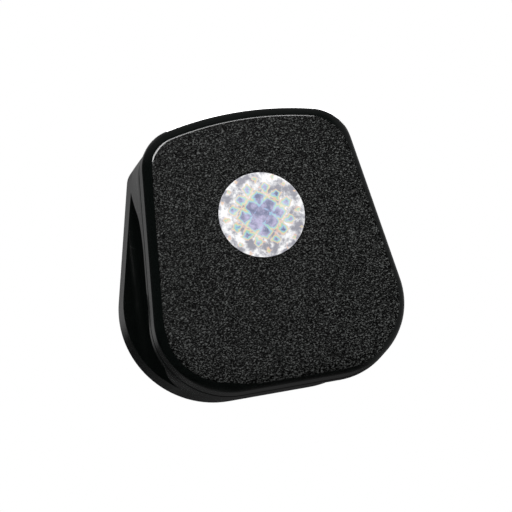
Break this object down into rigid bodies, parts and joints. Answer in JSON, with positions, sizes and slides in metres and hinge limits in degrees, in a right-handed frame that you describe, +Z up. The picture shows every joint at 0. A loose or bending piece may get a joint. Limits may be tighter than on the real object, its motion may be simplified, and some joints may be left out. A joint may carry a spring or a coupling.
{
  "type": "three pin mains plug",
  "caption": "Black rewireable fused mains plug with rectangular pins, tapered body, scooped finger grips and a round foil label on a grained cover.",
  "frame": {"origin": "on the engagement face, midway between the line and neutral pins", "axes": "+Y out of the engagement face along the pins, +Z up towards the earth pin, +X to the line pin's side, which is the right as seen from the cover"},
  "size_m": [0.0532, 0.0527, 0.0553],
  "materials": {
    "black_moulding": "gloss sides, fine leathery grain on the cover face",
    "label_foil": "silver-white diffraction foil",
    "brass": "satin",
    "steel": "zinc plated",
    "sleeve": "satin",
    "spring_bronze": "satin",
    "fuse_ceramic": "glazed",
    "fuse_metal": "nickel plated",
    "grip_fibre": "pressed fibre"
  },
  "bodies": {
    "root": {"base": "black_moulding", "cover": "black_moulding", "label_disc": "label_foil", "cover_insert": "brass", "cover_screw": "steel", "screw_washer": "steel", "neutral_pin": "brass", "neutral_sleeve": "sleeve", "neutral_screw": "steel", "line_pin": "brass", "line_sleeve": "sleeve", "line_terminal": "brass", "line_screw": "steel", "earth_pin": "brass", "earth_screw": "steel", "lower_fuse_clip": "spring_bronze", "upper_fuse_clip": "spring_bronze", "fuse_barrel": "fuse_ceramic", "lower_fuse_cap": "fuse_metal", "upper_fuse_cap": "fuse_metal", "fuse_element": "fuse_metal", "cord_grip_bar": "grip_fibre", "cord_grip_screws": "steel"}
  },
  "joints": []
}
